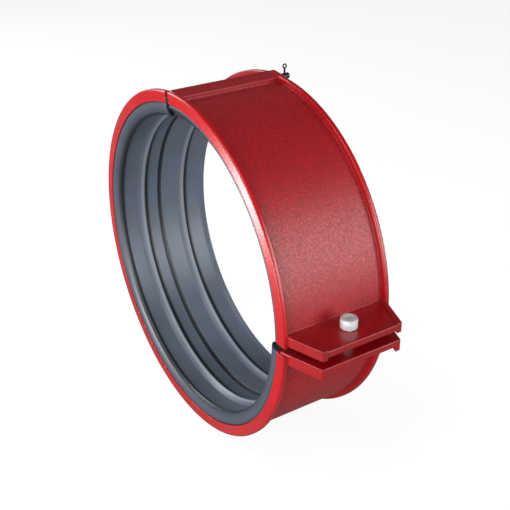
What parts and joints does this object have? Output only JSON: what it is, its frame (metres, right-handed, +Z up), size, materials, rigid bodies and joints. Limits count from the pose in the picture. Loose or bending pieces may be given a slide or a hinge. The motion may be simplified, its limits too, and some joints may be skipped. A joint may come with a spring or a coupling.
{
  "type": "two-part pipe coupling",
  "caption": "Hinged two-part pipe coupling: a long and a short red steel shell with ribbed rubber liners, closed round the pipe by one socket screw.",
  "frame": {"origin": "centre of the pipe bore, at mid width", "axes": "+Y along the pipe, away from the viewer; +Z up, towards the hinged seam; +X towards the clamping ears"},
  "size_m": [0.3242, 0.1136, 0.2992],
  "materials": {
    "red_paint": "semi-gloss, faintly speckled",
    "liner_rubber": "matt, slightly sheened",
    "zinc_steel": "bright zinc",
    "dark_steel": "dark oxide"
  },
  "bodies": {
    "long_half": {"long_shell": "red_paint", "long_liner": "liner_rubber", "hinge_pin": "dark_steel", "split_pin": "dark_steel", "screw_nut": "zinc_steel"},
    "closing_half": {"closing_shell": "red_paint", "closing_liner": "liner_rubber"},
    "screw": {"clamp_screw": "zinc_steel"}
  },
  "joints": [
    {"name": "closing_hinge", "type": "hinge", "parent": "long_half", "child": "closing_half", "pos_m": [-0.01354, 0, 0.14065], "axis": [0, -1, 0], "range_deg": [-0.9, 0.9]},
    {"name": "screw_travel", "type": "slide", "parent": "long_half", "child": "screw", "axis": [0, 0, 1], "range_m": [-0.00285, 0.00285]}
  ],
  "couplings": [
    {"joint": "screw_travel", "follows": "closing_hinge", "m_per_rad": 0.17284}
  ]
}
